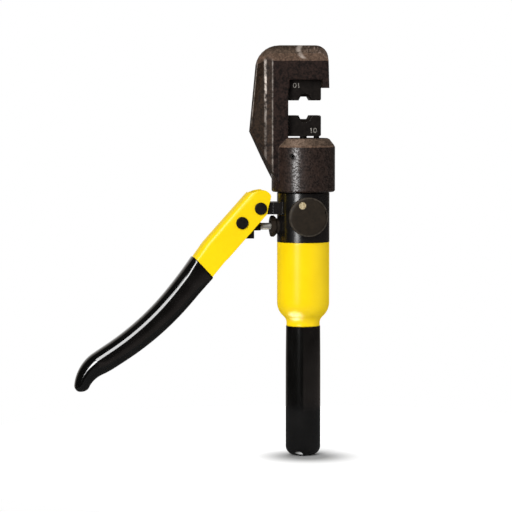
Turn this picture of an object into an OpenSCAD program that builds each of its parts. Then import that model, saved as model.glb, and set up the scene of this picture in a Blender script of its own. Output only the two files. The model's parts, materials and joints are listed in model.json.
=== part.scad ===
// Hand-held hydraulic crimping tool. A fixed handle carries a small pump, and the pump drives a ram
// that closes two crimping dies in a forged open head. The ram's axis is Z, the base of the fixed
// grip is the origin, the pump lever lies towards -X and the release knob faces -Y.

/* [Fixed handle] */
// Length of the fixed grip, from its base to the painted neck
grip_l = 100; // [85:1:120]
// Radius of the straight lower stretch of the fixed grip
grip_r = 13.4; // [12.8:0.1:15]
// Radius of the fixed grip at its mouth
grip_mouth_r = 13; // [12.4:0.1:15]
// Height of the straight lower stretch of the grip
grip_straight_l = 72; // [40:1:80]
// Radius of the round at the foot of the grip
grip_round = 7; // [3:0.5:9]
// Thickness of the grip's floor
grip_floor = 6; // [4:0.5:10]
// Radius of the painted barrel
barrel_r = 20.1; // [19.4:0.1:21]
// Wall of the painted barrel and of the tube below it
barrel_wall = 2.5; // [1.8:0.1:2.8]
// Length of the painted barrel above its shoulder
barrel_l = 47; // [40:0.1:60]
// Height of the barrel's shoulder
shoulder_h = 16; // [10:0.5:20]
// Length of the painted neck below the shoulder
neck_l = 2; // [1.5:0.1:8]
// Radius of the painted neck
neck_r = 12.8; // [12.6:0.1:15]
// Radius of the tube inside the grip
tube_r = 11.2; // [10.4:0.1:11.6]

/* [Pump body] */
// Radius of the pump body
body_r = 20.2; // [19.6:0.1:21.5]
// Height of the pump body between barrel and head
body_h = 38.5; // [36:0.5:44]
// Bore of the ram's cylinder, as a radius
bore_r = 15; // [14:0.1:15.6]
// Radius of the spigot that the head screws onto
spigot_r = 19; // [18:0.1:19.6]
// Height of the lever's pivot above the barrel
pivot_rise = 26.1; // [24.5:0.1:28]
// Reach of the lever's pivot from the pump body's side
pivot_reach = 14.6; // [13.6:0.1:16]
// Height of the pivot lug
lug_h = 9.2; // [8:0.1:11]

/* [Head] */
// Radius of the head's collar
collar_r = 24.4; // [23.6:0.1:26]
// Height of the collar
collar_h = 41; // [38:0.5:46]
// Height of the open throat between collar and lip
throat_h = 38.4; // [36:0.1:41]
// Height of the jaw from its lip to its crown
jaw_h = 32.6; // [28:0.1:38]
// Thickness of the head across its flat faces
head_t = 25; // [22:0.5:28]
// Distance of the back of the spine from the ram's axis, at its knee
spine_x = 41.6; // [38:0.1:46]
// Distance of the throat's wall from the ram's axis
throat_x = 13.8; // [13.5:0.1:15]
// Distance of the lip's outer face from the ram's axis
lip_x = 18; // [16.5:0.1:20]

/* [Ram and dies] */
// Radius of the ram's rod
rod_r = 13.2; // [12.8:0.1:13.4]
// Width of a die
die_w = 25; // [22:0.1:25.4]
// Thickness of a die
die_t = 14; // [10:0.5:18]
// Height of a die
die_h = 15.9; // [14:0.1:16.5]
// Width of the flat in a die's half-hexagon groove
groove_w = 6.2; // [3:0.1:8]
// Depth of a die's groove
groove_d = 2.85; // [1.5:0.05:4]
// Gap between the collar's top and the lower die
die_stand = 1.6; // [0.5:0.1:2.5]
// Gap left between the dies when the ram is out
die_close = 0.4; // [0.2:0.1:2]

/* [Lever] */
// Angle of the lever's straight web from straight down, with the lever open
lever_angle = 42; // [38:0.1:46]
// Width of the lever channel
lever_w = 22; // [20:0.5:24]
// Wall of the lever channel
lever_wall = 2.5; // [2:0.1:3]
// Distance of the pivot from the channel's web
pivot_inset = 14.2; // [13.4:0.1:15]
// Distance from the pivot to the drive pin
drive_r = 18; // [17:0.1:19]
// Angle of the drive pin from straight down, with the lever open
drive_angle = 52.8; // [50:0.1:55]
// Swing of the lever from open to closed
lever_swing = 35; // [25:1:36]
// Length of the painted stretch of the lever, from its web's end to the grip
painted_l = 65; // [60:1:75]
// Length of the lever grip from its neck to its outward curve
lead_l = 40; // [32:1:50]
// Length of the gentle outward curve of the lever grip
sweep_l = 65; // [50:1:80]
// Length of the hook at the lever grip's end
hook_l = 33; // [28:1:38]
// Thickness of the lever grip's coat
coat = 0.7; // [0.6:0.1:1.5]

/* [Plunger and release] */
// Radius of the pump plunger
plunger_r = 2.6; // [2.2:0.1:3]
// Corner radius of the gland nut
gland_r = 8.2; // [7.6:0.1:8.6]
// Radius of the release knob
knob_r = 15; // [13:0.5:17]
// Thickness of the release knob
knob_t = 5.5; // [4.5:0.5:8]
// Height of the release knob's axis above the barrel
knob_rise = 19.9; // [18:0.1:21]
// Radius of the check balls
ball_r = 2.4; // [2.2:0.1:2.6]

/* [Hidden] */
$fn = 48;
// One overrun serves all cuts, and three gaps serve all fits
over = 1;
run_gap = 0.05;
fit_gap = 0.1;
seat_gap = 0.2;

// Levels up the tool's axis
neck_z = grip_l;
shoulder_z = neck_z + neck_l;
barrel_z = shoulder_z + shoulder_h;
body_z = barrel_z + barrel_l;
collar_z = body_z + body_h;
throat_z = collar_z + collar_h;
lip_z = throat_z + throat_h;
crown_z = lip_z + jaw_h;

// Fixed handle
tube_bore_r = tube_r - barrel_wall + 0.5 * run_gap;
barrel_bore_r = barrel_r - barrel_wall;
shoulder_share = 0.68;
plug_h = 10;
lip_round = 0.8;

// Pump body
body_edge = 1;
screw_l = 12;
bag_spigot_l = 7;
bag_wall = 1.4;
bag_room = 1;
bag_spigot_r = barrel_bore_r - bag_room - bag_wall - fit_gap;
body_foot_z = body_z - screw_l - bag_spigot_l;
cyl_floor = 2.5;
cyl_z = collar_z + cyl_floor;
lug_eye_r = 5.8;
lug_root_w = 19;
lug_root_l = 4.7;
lug_root_x = body_r + lug_root_l;
pivot = [-body_r - pivot_reach, body_z + pivot_rise];
pin_r = 3.5;
drive_pin_r = 3;
channel_in_w = lever_w - 2 * lever_wall;
lug_w = channel_in_w - 2 * seat_gap;

// Head
collar_edge = 1;
collar_bevel_r = 5;
collar_bevel_h = 6;
collar_soft = 0.7;
guide_h = 10;
guide_z = throat_z - guide_h;
pocket_d = 6.4;
pocket_z = lip_z + pocket_d;
pocket_play = 0.4;
slant_rise = 4.5;
slant_in = 4.4;
knee_rise = 5.1;
back_lean = 4.6;
back_round = 18.5;
crown_round = 10;
ridge_out = 0.8;
ridge_w = 6.6;
bevel_w = 21.6;
bevel_step = 10.5;
bevel_x = spine_x - bevel_step;
bevel_drop = 6.3;
bevel_round = 6;
flat_step = 5.2;
flat_x = bevel_x - flat_step;
flat_drop = 11.8;
lip_lean = 0.6;
slant_foot = [-collar_r + slant_in, collar_z + slant_rise];
knee = [-spine_x, throat_z + knee_rise];
lock_r = 2;
lock_l = 4.6;
lock_angle = 30;
lock_drop = 3.5;
lock_z = guide_z - lock_drop;

// Ram and dies
lower_die_z = throat_z + die_stand;
stroke = pocket_z - die_h - die_close - (lower_die_z + die_h);
ram_sink = 0.5;
ram_top = throat_z - ram_sink;
ram_foot = cyl_z + seat_gap;
piston_top = guide_z - stroke - fit_gap;
ram_bore_r = 9;
plate_h = 4;
crown_t = 7.8;
bolt_r = 3;
bolt_head_r = 7.5;
bolt_head_h = 3;
bolt_thread_l = 10;
bolt_socket_r = 2.9;
bolt_socket_d = 1.8;
bolt_head_z = ram_top - crown_t - over - bolt_head_h;
spring_wire_r = 0.8;
spring_r = 6.4;
spring_turns = 5;
seal_h = 3.5;
backup_h = 1.8;
seal_d = 2.2;
seal_rise = 2.6;
seal_z = ram_foot + seal_rise;
seal_r = bore_r - seal_d;
die_edge = 0.8;
die_flare = 1.5;
stem_r = 2.7;
socket_d = 5.5;
stem_l = die_stand + ram_sink + socket_d;
stem_groove_d = 0.8;
dowel_r = 2.2;
dowel_x = 10.2;
dowel_in = 4;

// Valves of the pump
valve_share = 0.396;
valve_x = valve_share * body_r;
port_r = 1.5;
valve_r = 3.5;
valve_spring_r = 1.9;
valve_wire_r = 0.25;
valve_turns = 4;
seat_h = 7;
seat_port_r = 1.2;
valve_spring_l = 6.2;
delivery_depth = 16;
delivery_seat_z = cyl_z - delivery_depth;
delivery_plug_h = 5;
relief_seat_drop = 4;
relief_screw_l = 8;
relief_socket_r = 1.9;
relief_socket_d = 3;
suction_seat_z = body_foot_z + seat_h;

// Plunger drive
drive_pin = pivot - drive_r * [sin(drive_angle), cos(drive_angle)];
drive_end_drop = drive_r * cos(drive_angle - lever_swing);
plunger_z = pivot[1] - (drive_r * cos(drive_angle) + drive_end_drop) / 2;
plunger_stroke = drive_r * (sin(drive_angle) - sin(drive_angle - lever_swing));
slot_play = 0.45;
slot_r = drive_pin_r + slot_play;
yoke_wall = 2.2;
yoke_r = slot_r + yoke_wall;
yoke_play = 1;
yoke_w = channel_in_w - 2 * yoke_play;
yoke_l = 9.8;
yoke_x = drive_pin[0] + yoke_l;
yoke_low = 9;
yoke_high = 5.8;
boss_r = 3.3;
boss_l = 3.6;
collar_l = 2.3;
rod_in = 5;
gland_stand = 5.5;
gland_gap = 1;
gland_taper = 1.8;
gland_screw_r = 6;
gland_in = 8.2;
gland_cup_r = 3.9;
gland_cup_d = 3.8;
gland_edge = 0.7;
packing_r = 4.6;
packing_l = 3;
gland_face = -body_r - gland_stand;
gland_end = -body_r + gland_in;
plunger_tip = gland_end + packing_l + over;
chamber_end = max(valve_x + port_r, plunger_tip + plunger_stroke + over);

// Release valve
knob_z = body_z + knob_rise;
knob_gap = 0.3;
knob_back = -body_r - knob_gap;
knob_front = knob_back - knob_t;
knob_bevel_r = 2;
knob_bevel_t = 1.2;
knob_cap = 2.4;
screw_sink = 0.5;
notch_r = 2.3;
notch_angle = 13;
notch_d = 2.4;
screw_x = -4.9;
screw_rise = 8.8;
screw_head_r = 3.1;
screw_head_t = 1.4;
screw_shank_r = 1.8;
slot_w = 0.9;
slot_d = 0.7;
release_depth = 12.2;
release_seat_y = -body_r + release_depth;
return_step = 2;
return_y = release_seat_y - return_step;
release_ball_r = 2.2;
guide_r = 2.5;
guide_l = 5;
spindle_r = 4;
spindle_nose_r = 2.3;
spindle_shank_r = 3;
oring_wire_r = 0.62;
oring_depth = 3.5;
oring_y = -body_r + oring_depth;

// Lever
pin_head_r = 4.7;
pin_head_t = 1.6;
pin_head_edge = 0.5;
pin_tail = 2;
clip_t = 0.9;
clip_d = 0.6;
clip_rim = 1.9;
bend_r = 4;
nose_l = 3.45;
ear_lead = 14;
depth_pins = 20.8;
depth_neck = 21.1;
grip_depth_mouth = 21.1;
grip_depth_mid = 20;
grip_depth_low = 17.3;
grip_depth_hook = 14.2;
grip_depth_tip = 9.6;
grip_corner = 5.5;
mouth_corner = 1.2;
mouth_l = 5;
wall_drop = 4.6;
wall_room = 3.4;
tip_corner = 4.5;
tip_w = 16;
mouth_slant = 4;
kink_l = 7;
neck_back = 10;
kink_turn = 7.4;
kink_angle = lever_angle - kink_turn;
lead_angle = 39;
sweep_angle = 57;
hook_angle = -3;
tail_l = 12;
channel_stop = 20;
tip_round = 4.5;
tip_full_share = 0.9;
coat_step = coat + seat_gap;
wall_low = 2 * coat_step + wall_drop;
depth_mouth = grip_depth_mouth - 2 * coat_step;
coated_s = painted_l + 3 * mouth_l;
grip_w = lever_w + 2 * coat_step;

// Points of an arc about c from angle a to angle b in n steps
function arc(c, r, a, b, n) =
    [for (i = [0 : n]) let (t = a + (b - a) * i / n) c + r * [cos(t), sin(t)]];

// Height on the slanted underside of the spine at a distance x from the axis
function slant_z(x) =
    slant_foot[1] + (knee[1] - slant_foot[1]) * (-x - slant_foot[0]) / (knee[0] - slant_foot[0]);

// The lever's web follows legs of steady curvature, each with a length, a first and a last heading,
// where a heading is the angle from straight down towards -X
kink_s = painted_l - neck_back - kink_l;
sweep_s = kink_s + kink_l + lead_l;
tail_s = sweep_s + sweep_l;
hook_s = tail_s + tail_l;
lever_l = hook_s + hook_l;
lever_legs = [[kink_s, lever_angle, lever_angle], [kink_l, lever_angle, kink_angle],
    [lead_l, kink_angle, lead_angle], [sweep_l, lead_angle, sweep_angle],
    [tail_l, sweep_angle, sweep_angle], [hook_l, sweep_angle, hook_angle]];
function along(a) = [-sin(a), -cos(a)];
function inward(a) = [cos(a), -sin(a)];
web_start = pivot - pivot_inset * inward(lever_angle) - nose_l * along(lever_angle);
function leg_move(leg, t) = leg[1] == leg[2] ? t * along(leg[1]) :
    let (k = (leg[2] - leg[1]) / leg[0], a = leg[1] + k * t, radius = 180 / (PI * k))
    radius * [cos(a) - cos(leg[1]), sin(leg[1]) - sin(a)];
function web_point(s, i = 0, p = web_start) = let (leg = lever_legs[i])
    s <= leg[0] || i == len(lever_legs) - 1 ? p + leg_move(leg, s) :
    web_point(s - leg[0], i + 1, p + leg_move(leg, leg[0]));
function web_heading(s, i = 0) = let (leg = lever_legs[i])
    s <= leg[0] || i == len(lever_legs) - 1 ? leg[1] + (leg[2] - leg[1]) * s / leg[0] :
    web_heading(s - leg[0], i + 1);

// A ring of section points [depth, width] set square to the web at s, slanted by lean along its depth
function ring_at(s, section, lean = 0) = let (p = web_point(s), a = web_heading(s),
    deep = max([for (q = section) q[0]]))
    [for (q = section) let (f = p + q[0] * inward(a) + lean * max(q[0], 0) / deep * along(a))
        [f[0], q[1], f[1]]];

// Section of a U channel, open away from the web, outer points first and then inner points back
function u_half(depth, w, r, inset) = concat([[depth, w]], arc([r + inset, w - r], r, 90, 180, 4));
function u_line(depth, w, r, inset) = let (half = u_half(depth, w, r, inset))
    concat(half, [for (i = [len(half) - 1 : -1 : 0]) [half[i][0], -half[i][1]]]);
function u_section(depth) = let (inner = u_line(depth, channel_in_w / 2, bend_r - lever_wall, lever_wall))
    concat(u_line(depth, lever_w / 2, bend_r, 0), [for (i = [len(inner) - 1 : -1 : 0]) inner[i]]);

// Section of a bar from depth a, with corners r, to depth b, with corners q
function bar_half(a, b, w, r, q) =
    concat(arc([a + r, w - r], r, 180, 90, 5), arc([b - q, w - q], q, 90, 0, 5));
function bar_section(a, b, w, r, q) = let (half = bar_half(a, b, w / 2, r, q))
    concat(half, [for (i = [len(half) - 1 : -1 : 0]) [half[i][0], -half[i][1]]]);

// A closed skin over a row of rings that have the same count of points
module skin(rings) {
    n = len(rings[0]);
    m = len(rings);
    sides = [for (j = [0 : m - 2], i = [0 : n - 1]) let (a = j * n + i, b = j * n + (i + 1) % n)
        each [[a, b, b + n], [a, b + n, a + n]]];
    function cap(first, turn) = [for (i = [0 : ceil(n / 2) - 2]) let (a = first + i, b = first + i + 1,
        c = first + n - 2 - i, d = first + n - 1 - i)
        each turn ? [[a, d, b], [b, d, c]] : [[a, b, d], [b, c, d]]];
    faces = concat(sides, cap(0, true), cap((m - 1) * n, false));
    polyhedron([for (ring = rings) each ring],
        [for (f = faces) if (f[0] != f[1] && f[1] != f[2] && f[0] != f[2]) f]);
}

// Straight round bars along each axis
module bar_x(a, b, r) { translate([a, 0, 0]) rotate([0, 90, 0]) cylinder(r = r, h = b - a); }
module bar_y(a, b, r) { translate([0, a, 0]) rotate([-90, 0, 0]) cylinder(r = r, h = b - a); }
module bar_z(a, b, r) { translate([0, 0, a]) cylinder(r = r, h = b - a); }

// A ring about Z with a plain wall
module hoop_z(a, b, outer, inner) {
    difference() {
        bar_z(a, b, outer);
        bar_z(a - over, b + over, inner);
    }
}

// A plate drawn in X and Z, centred on Y
module plate(t) { rotate([90, 0, 0]) translate([0, 0, -t / 2]) linear_extrude(t) children(); }

// A round ring of wire about Z
module wire_ring(r, wire) { rotate_extrude() translate([r, 0]) circle(r = wire, $fn = 24); }

// A coil spring about Z from height a to height b, one unbroken tube of wire
function coil_line(a, b, r, wire, turns) = [for (i = [0 : turns * 12])
    [r * cos(i * 30), r * sin(i * 30), a + wire + (b - a - 2 * wire) * i / (turns * 12)]];
function coil_gap(line, wire) = min([for (i = [0 : len(line) - 1], j = [i + 8 : 1 : i + 16])
    if (j < len(line)) norm(line[i] - line[j])]) - 2 * wire;
module coil(a, b, r, wire, turns) {
    line = coil_line(a, b, r, wire, turns);
    echo(least_coil_gap = coil_gap(line, wire));
    skin([for (i = [0 : len(line) - 1]) [for (k = [0 : 5])
        line[i] + wire * [cos(k * 60) * cos(i * 30), cos(k * 60) * sin(i * 30), sin(k * 60)]]]);
}

// Forged head: a bevelled spine and jaw on a round collar that screws onto the pump body
module head_blank() {
    front = [[-throat_x, slant_foot[1]], [lip_x, lip_z], [lip_x - lip_lean, crown_z - flat_drop]];
    hull() {
        plate(ridge_w) {
            polygon(concat([knee, slant_foot], [front[0], front[1]]));
            translate([-spine_x + back_lean + back_round, crown_z - back_round])
                circle(r = back_round, $fn = 32);
            translate([lip_x + ridge_out - crown_round, crown_z - crown_round])
                circle(r = crown_round, $fn = 32);
        }
        plate(bevel_w) {
            polygon(concat([[-bevel_x, slant_z(bevel_x)], slant_foot], front));
            translate([-bevel_x + bevel_round, crown_z - bevel_drop - bevel_round])
                circle(r = bevel_round, $fn = 32);
            translate([front[2][0] - bevel_drop, crown_z - 2 * bevel_drop])
                circle(r = bevel_drop, $fn = 32);
        }
        plate(head_t)
            polygon(concat([[-flat_x, crown_z - flat_drop], [-flat_x, slant_z(flat_x)], slant_foot],
                front));
    }
}

module collar() {
    bevel_foot = throat_z - collar_bevel_h;
    rotate_extrude() polygon([[0, collar_z], [collar_r - collar_edge, collar_z],
        [collar_r, collar_z + collar_edge],
        [collar_r, bevel_foot - collar_soft], [collar_r - collar_soft, bevel_foot + collar_soft],
        [collar_r - collar_bevel_r + collar_soft, throat_z - collar_soft],
        [collar_r - collar_bevel_r - collar_soft, throat_z], [0, throat_z]]);
}

module crimp_head() {
    color("#3b3330") difference() {
        union() {
            difference() {
                head_blank();
                translate([-throat_x, -head_t, collar_z])
                    cube([spine_x + lip_x, 2 * head_t, lip_z - collar_z]);
            }
            collar();
        }
        translate([-die_w / 2 - pocket_play, -head_t, throat_z])
            cube([die_w + 2 * pocket_play, 2 * head_t, pocket_z - throat_z]);
        bar_z(collar_z - over, guide_z, spigot_r + run_gap);
        bar_z(collar_z, throat_z + over, rod_r + run_gap);
        bar_z(throat_z, pocket_z + stem_l + fit_gap, stem_r + run_gap);
        lock_screw_place() bar_x(spigot_r, collar_r + over, lock_r + run_gap);
    }
}

// Crimping die, standing on its back with the half-hexagon groove on top
module die() {
    half = die_w / 2;
    mouth = groove_w / 2 + groove_d / tan(60);
    side = [[half - die_edge, 0], [half, die_edge], [half, die_h - die_edge], [half - die_edge, die_h],
        [mouth, die_h], [groove_w / 2, die_h - groove_d]];
    difference() {
        union() {
            plate(die_t)
                polygon(concat(side, [for (i = [len(side) - 1 : -1 : 0]) [-side[i][0], side[i][1]]]));
            bar_z(-stem_l, over, stem_r);
        }
        for (end = [-1, 1])
            translate([0, end * die_t / 2, die_h]) rotate([90 * end, 0, 0]) translate([0, 0, -over])
                cylinder(r1 = mouth + die_flare, r2 = mouth - die_flare, h = 2 * die_flare + over);
        translate([0, 0, -stem_l / 2]) difference() {
            bar_z(-stem_groove_d, stem_groove_d, stem_r + over);
            bar_z(-stem_l, stem_l, stem_r - stem_groove_d);
        }
        translate([dowel_x, 0, 0]) bar_z(-over, dowel_in, dowel_r + run_gap);
    }
}
module upper_die_place() { translate([0, 0, pocket_z]) rotate([0, 180, 0]) children(); }
module lower_die_place() { translate([0, 0, lower_die_z]) children(); }
module upper_die() { color("#1c1b1b") upper_die_place() die(); }
module lower_die() { color("#1c1b1b") lower_die_place() die(); }

// Rubber rings that hold the die stems in their sockets
module die_ring() {
    wire = stem_groove_d / 2;
    translate([0, 0, -stem_l / 2]) wire_ring(stem_r - wire, wire);
}
module upper_die_ring() { color("#222222") upper_die_place() die_ring(); }
module lower_die_ring() { color("#222222") lower_die_place() die_ring(); }

module die_dowel() {
    color("#4a4a4a") translate([dowel_x, 0, 0])
        bar_z(ram_top - dowel_in, lower_die_z + dowel_in, dowel_r);
}

// Socket screw that keeps the head from turning on the pump body
module lock_screw_place() { translate([0, 0, lock_z]) rotate([0, 0, -90 - lock_angle]) children(); }
module head_lock_screw() {
    color("#555555") lock_screw_place() difference() {
        bar_x(spigot_r + run_gap, spigot_r + run_gap + lock_l, lock_r);
        translate([spigot_r + lock_l / 2, 0, 0]) rotate([0, 90, 0])
            cylinder(r = lock_r / 2, h = lock_l, $fn = 6);
    }
}

// Steel pump body with the ram's cylinder above, the pump and its valves across the middle, the
// pivot lug at the side and a stepped foot that the barrel and the oil bag fit onto
module valve_place(x, y) { translate([x, y, 0]) children(); }

module pump_passages() {
    bar_z(cyl_z, collar_z + collar_h, bore_r);
    bar_z(cyl_z - bolt_thread_l - fit_gap, cyl_z + over, bolt_r + run_gap);
    translate([0, 0, plunger_z]) {
        bar_x(gland_face, chamber_end, plunger_r + run_gap);
        bar_x(gland_face, gland_end + packing_l, packing_r + run_gap);
        bar_x(gland_face, gland_end, gland_screw_r + run_gap);
    }
    valve_place(valve_x, 0) {
        bar_z(body_foot_z - over, suction_seat_z + seat_lift(seat_port_r) + valve_spring_l, valve_r);
        bar_z(body_foot_z, cyl_z, port_r);
        bar_z(delivery_seat_z, cyl_z + over, valve_r);
    }
    valve_place(0, valve_x) {
        bar_z(body_foot_z, cyl_z + over, port_r);
        bar_z(body_foot_z - over, knob_z - relief_seat_drop, valve_r);
    }
    valve_place(0, return_y) bar_z(body_foot_z - over, knob_z, port_r);
    translate([0, 0, knob_z]) {
        bar_y(-body_r - over, release_seat_y - guide_l, spindle_r + run_gap);
        bar_y(-body_r, release_seat_y, guide_r);
        bar_y(-body_r, valve_x, port_r);
    }
}

module pump_body() {
    color("#141414") difference() {
        union() {
            rotate_extrude() polygon([[0, body_foot_z], [bag_spigot_r, body_foot_z],
                [bag_spigot_r, body_foot_z + bag_spigot_l],
                [barrel_bore_r - run_gap, body_foot_z + bag_spigot_l],
                [barrel_bore_r - run_gap, body_z], [body_r, body_z], [body_r, collar_z - body_edge],
                [body_r - body_edge, collar_z], [spigot_r, collar_z], [spigot_r, guide_z - fit_gap],
                [0, guide_z - fit_gap]]);
            translate([pivot[0], -lug_w / 2, pivot[1] - lug_h / 2]) cube([-pivot[0], lug_w, lug_h]);
            translate([-lug_root_x, -lug_root_w / 2, pivot[1] - lug_h / 2])
                cube([lug_root_x, lug_root_w, lug_h]);
            translate([pivot[0], 0, pivot[1]]) bar_y(-lug_w / 2, lug_w / 2, lug_eye_r);
        }
        translate([pivot[0], 0, pivot[1]]) bar_y(-lug_w, lug_w, pin_r + run_gap);
        pump_passages();
    }
}

// Gland nut that holds the plunger packing in the pump body
module gland_nut() {
    nut_end = -body_r - gland_gap;
    color("#3a3230") translate([0, 0, plunger_z]) difference() {
        union() {
            intersection() {
                translate([gland_face, 0, 0]) rotate([0, 90, 0])
                    cylinder(r = gland_r, h = nut_end - gland_face, $fn = 6);
                rotate([0, 90, 0]) rotate_extrude() polygon([[0, gland_face],
                    [gland_r - gland_edge, gland_face], [gland_r, gland_face + gland_edge],
                    [gland_r, nut_end - gland_taper], [gland_r - gland_taper, nut_end], [0, nut_end]]);
            }
            bar_x(gland_face + gland_cup_d, gland_end, gland_screw_r);
        }
        bar_x(gland_face - over, gland_end + over, plunger_r + run_gap);
        bar_x(gland_face - over, gland_face + gland_cup_d, gland_cup_r);
    }
}

module plunger_seal() {
    color("#262626") translate([0, 0, plunger_z]) difference() {
        bar_x(gland_end, gland_end + packing_l, packing_r);
        bar_x(gland_end - over, gland_end + packing_l + over, plunger_r + run_gap);
    }
}

// Check valves: a ball rests on the rim of a port and a light spring holds it there
function seat_lift(port) = sqrt(pow(ball_r, 2) - pow(port, 2));
function spring_foot(centre) = centre - valve_wire_r
    + sqrt(pow(ball_r + valve_wire_r + run_gap, 2) - pow(valve_spring_r, 2));
module ball(r) { sphere(r = r, $fn = 32); }

module suction_seat() {
    color("#8a8a8a") valve_place(valve_x, 0)
        hoop_z(body_foot_z, suction_seat_z, valve_r - run_gap, seat_port_r);
}
module suction_ball() {
    color("#c8c8c8") valve_place(valve_x, 0)
        translate([0, 0, suction_seat_z + seat_lift(seat_port_r) + run_gap]) ball(ball_r);
}
module suction_spring() {
    centre = suction_seat_z + seat_lift(seat_port_r);
    color("#b0b0b0") valve_place(valve_x, 0)
        coil(spring_foot(centre + run_gap), centre + valve_spring_l, valve_spring_r, valve_wire_r,
            valve_turns);
}
module delivery_ball() {
    color("#c8c8c8") valve_place(valve_x, 0)
        translate([0, 0, delivery_seat_z + seat_lift(port_r) + run_gap]) ball(ball_r);
}
module delivery_spring() {
    color("#b0b0b0") valve_place(valve_x, 0)
        coil(spring_foot(delivery_seat_z + seat_lift(port_r) + run_gap), cyl_z - delivery_plug_h,
            valve_spring_r, valve_wire_r, valve_turns);
}
module delivery_plug() {
    color("#8a8a8a") valve_place(valve_x, 0)
        hoop_z(cyl_z - delivery_plug_h, cyl_z, valve_r - run_gap, seat_port_r);
}
relief_centre = knob_z - relief_seat_drop - seat_lift(port_r) - run_gap;
module relief_ball() {
    color("#c8c8c8") valve_place(0, valve_x) translate([0, 0, relief_centre]) ball(ball_r);
}
module relief_spring() {
    color("#b0b0b0") valve_place(0, valve_x)
        coil(body_foot_z + relief_screw_l, 2 * relief_centre - spring_foot(relief_centre), valve_spring_r,
            valve_wire_r, 2 * valve_turns);
}
module relief_screw() {
    color("#8a8a8a") valve_place(0, valve_x) difference() {
        hoop_z(body_foot_z, body_foot_z + relief_screw_l, valve_r - run_gap, seat_port_r);
        translate([0, 0, body_foot_z - over])
            cylinder(r = relief_socket_r, h = relief_socket_d + over, $fn = 6);
    }
}

// Ball that the release spindle presses onto the end of the pressure gallery
release_ball_y = release_seat_y - sqrt(pow(release_ball_r, 2) - pow(port_r, 2)) - run_gap;
module release_ball() { color("#c8c8c8") translate([0, release_ball_y, knob_z]) ball(release_ball_r); }

// Bolt in the cylinder floor whose head holds the ram's return spring down
module spring_bolt() {
    color("#77736c") difference() {
        union() {
            bar_z(cyl_z - bolt_thread_l, bolt_head_z, bolt_r);
            bar_z(bolt_head_z, bolt_head_z + bolt_head_h, bolt_head_r);
        }
        translate([0, 0, bolt_head_z + bolt_head_h - bolt_socket_d])
            cylinder(r = bolt_socket_r, h = bolt_socket_d + over, $fn = 6);
    }
}

module return_spring() {
    color("#a0a0a0") coil(ram_foot + plate_h, bolt_head_z, spring_r, spring_wire_r, spring_turns);
}

// Painted barrel that holds the oil, drawn down to the tube that carries the grip
module handle_tube() {
    drop = barrel_r - neck_r;
    sweep = 2 * atan(drop / shoulder_h);
    round_sum = shoulder_h / sin(sweep);
    upper = shoulder_share * round_sum;
    lower = round_sum - upper;
    outer = concat(arc([barrel_r - upper, barrel_z], upper, 0, -sweep, 8),
        arc([neck_r + lower, shoulder_z], lower, 180 - sweep, 180, 5));
    inner = [for (i = [len(outer) - 1 : -1 : 0])
        [max(outer[i][0] - barrel_wall, tube_bore_r), outer[i][1] + barrel_wall / 2]];
    color("#f6d80f") rotate_extrude() polygon(concat([[barrel_bore_r, body_z], [barrel_r, body_z]], outer,
        [[neck_r, neck_z], [tube_r, neck_z], [tube_r, grip_floor], [tube_bore_r, grip_floor],
        [tube_bore_r, neck_z]], inner));
}

module fixed_grip() {
    mouth = neck_z;
    color("#101010") rotate_extrude() polygon(concat([[0, 0], [grip_r - grip_round, 0]],
        arc([grip_r - grip_round, grip_round], grip_round, -90, 0, 10),
        [[grip_r, grip_straight_l], [grip_mouth_r, mouth - lip_round], [grip_mouth_r - lip_round, mouth],
        [tube_r + fit_gap, mouth], [tube_r + fit_gap, grip_floor], [0, grip_floor]]));
}

module tube_plug() {
    color("#2b2b2b") difference() {
        bar_z(grip_floor, grip_floor + plug_h, tube_bore_r - run_gap);
        bar_z(grip_floor + plug_h / 2, grip_floor + plug_h + over, tube_bore_r / 2);
    }
}

// Rubber oil bag, stretched over the foot of the pump body and crimped there by a band
module oil_bladder() {
    outer_r = barrel_bore_r - bag_room;
    foot = barrel_z + barrel_wall;
    dome = outer_r / 2;
    top = body_foot_z + bag_spigot_l - fit_gap;
    outer = concat(arc([outer_r - dome, foot + dome], dome, -90, 0, 8), [[outer_r, top]]);
    inner = concat([[outer_r - bag_wall, top]],
        arc([outer_r - dome, foot + dome], dome - bag_wall, 0, -90, 8));
    color("#1f1f1f") rotate_extrude() polygon(concat([[0, foot]], outer, inner, [[0, foot + bag_wall]]));
}
module bladder_clamp() {
    band = body_foot_z + bag_spigot_l / 2;
    color("#a8a8a8") hoop_z(band - bag_wall, band + bag_wall, barrel_bore_r - seat_gap,
        barrel_bore_r - bag_room + run_gap);
}

// Hollow ram: a sealed piston foot in the cylinder and a rod that carries the lower die
module ram() {
    color("#b5b5b2") difference() {
        union() {
            bar_z(ram_foot, piston_top, bore_r - run_gap);
            bar_z(ram_foot, ram_top, rod_r);
        }
        bar_z(ram_foot - over, ram_top - crown_t, ram_bore_r);
        difference() {
            bar_z(seal_z, seal_z + seal_h + backup_h + fit_gap, bore_r + over);
            bar_z(seal_z - over, seal_z + seal_h + backup_h + over, seal_r);
        }
        bar_z(ram_top - socket_d, ram_top + over, stem_r + run_gap);
        translate([dowel_x, 0, 0]) bar_z(ram_top - dowel_in, ram_top + over, dowel_r + run_gap);
    }
}

// Lipped seal, open towards the oil, with a stiff ring behind it
module ram_seal() {
    lip = seal_d / 4;
    middle = seal_r + seal_d / 2;
    color("#30343a") rotate_extrude() polygon([[seal_r + run_gap, seal_z], [middle - lip, seal_z],
        [middle, seal_z + seal_h / 2], [middle + lip, seal_z], [bore_r - run_gap, seal_z],
        [bore_r - run_gap, seal_z + seal_h], [seal_r + run_gap, seal_z + seal_h]]);
}
module ram_backup_ring() {
    color("#e8e4d8")
        hoop_z(seal_z + seal_h, seal_z + seal_h + backup_h, bore_r - run_gap, seal_r + run_gap);
}

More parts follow.
